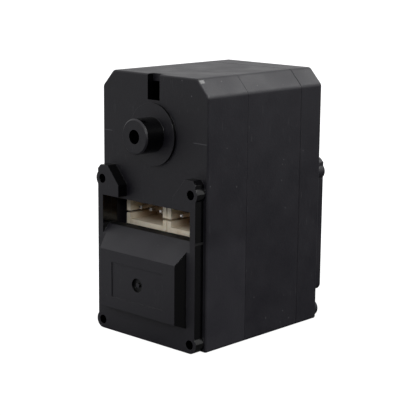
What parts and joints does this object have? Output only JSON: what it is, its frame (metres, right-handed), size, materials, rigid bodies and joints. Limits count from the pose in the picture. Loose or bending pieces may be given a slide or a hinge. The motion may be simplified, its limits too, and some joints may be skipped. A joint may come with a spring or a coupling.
{
  "type": "dual shaft bus servo",
  "caption": "Black plastic dual-shaft serial bus servo for pan and tilt mounts, with geared splined output, rear idler boss and two bus sockets.",
  "frame": {"origin": "on the output axis, in the plane of the front face of the case", "axes": "+Y along the output axis, out of the output face; +Z towards the chamfered end; +X to the right when looking along +Y"},
  "size_m": [0.0248, 0.0363, 0.0452],
  "materials": {
    "case_plastic": "satin moulded black, fine texture",
    "socket_plastic": "cream moulded nylon",
    "pin_tin": "tinned, bright",
    "screw_steel": "blackened",
    "bright_steel": "ground",
    "ball_chrome": "polished",
    "can_steel": "plated",
    "gear_steel": "machined",
    "gear_brass": "machined",
    "brass": "plain",
    "copper": "enamelled copper",
    "lamination": "stacked sheet",
    "ferrite": "pressed ferrite",
    "magnet_nickel": "nickel plated",
    "carbon": "pressed carbon",
    "end_cap_plastic": "white moulded",
    "board_green": "solder mask",
    "chip_black": "moulded epoxy",
    "light_lens": "clear epoxy",
    "capacitor_can": "drawn",
    "lead_sleeve": "soft sleeve"
  },
  "bodies": {
    "case": {"rear_cover": "case_plastic", "middle_case": "case_plastic", "front_cover": "case_plastic", "case_screws": "screw_steel", "motor_screws": "screw_steel", "gear_axles": "bright_steel", "bearing_outer_ring": "bright_steel", "bearing_shields": "bright_steel", "tail_bush": "brass", "motor_can": "can_steel", "motor_end_cap": "end_cap_plastic", "motor_bushes": "brass", "motor_magnets": "ferrite", "motor_terminals": "brass", "motor_brushes": "carbon", "control_board": "board_green", "bus_socket_left": "socket_plastic", "bus_socket_right": "socket_plastic", "socket_pins_left": "pin_tin", "socket_pins_right": "pin_tin", "angle_sensor": "chip_black", "microcontroller": "chip_black", "motor_driver": "chip_black", "status_light": "light_lens", "supply_capacitor": "capacitor_can", "board_screws": "screw_steel", "motor_leads": "lead_sleeve"},
    "output": {"output_shaft": "gear_steel", "output_gear": "gear_steel", "bearing_inner_ring": "bright_steel", "magnet_holder": "end_cap_plastic", "sensor_magnet": "magnet_nickel"},
    "third_gear": {"gear_3": "gear_steel"},
    "second_gear": {"gear_2": "gear_brass"},
    "first_gear": {"gear_1": "gear_brass"},
    "rotor": {"motor_shaft": "bright_steel", "rotor_core": "lamination", "rotor_windings": "copper", "commutator": "copper", "motor_pinion": "gear_brass"},
    "ball_cage": {"bearing_balls": "ball_chrome", "bearing_cage": "bright_steel"}
  },
  "joints": [
    {"name": "output_spin", "type": "hinge", "parent": "case", "child": "output", "pos_m": [0, -0.007, 0], "axis": [0, 1, 0], "continuous": true},
    {"name": "gear_3_spin", "type": "hinge", "parent": "case", "child": "third_gear", "pos_m": [0.0022, -0.007, -0.00924], "axis": [0, 1, 0], "continuous": true},
    {"name": "gear_2_spin", "type": "hinge", "parent": "case", "child": "second_gear", "pos_m": [-0.00397, -0.007, -0.01494], "axis": [0, 1, 0], "continuous": true},
    {"name": "gear_1_spin", "type": "hinge", "parent": "case", "child": "first_gear", "pos_m": [0.0035, -0.007, -0.01795], "axis": [0, 1, 0], "continuous": true},
    {"name": "rotor_spin", "type": "hinge", "parent": "case", "child": "rotor", "pos_m": [0, -0.007, -0.02525], "axis": [0, 1, 0], "continuous": true},
    {"name": "ball_cage_spin", "type": "hinge", "parent": "case", "child": "ball_cage", "pos_m": [0, -0.007, 0], "axis": [0, 1, 0], "continuous": true}
  ],
  "couplings": [
    {"joint": "gear_3_spin", "follows": "output_spin", "ratio": -2.8},
    {"joint": "gear_2_spin", "follows": "output_spin", "ratio": 8.96},
    {"joint": "gear_1_spin", "follows": "output_spin", "ratio": -32.256},
    {"joint": "rotor_spin", "follows": "output_spin", "ratio": 161.28},
    {"joint": "ball_cage_spin", "follows": "output_spin", "ratio": 0.425}
  ]
}
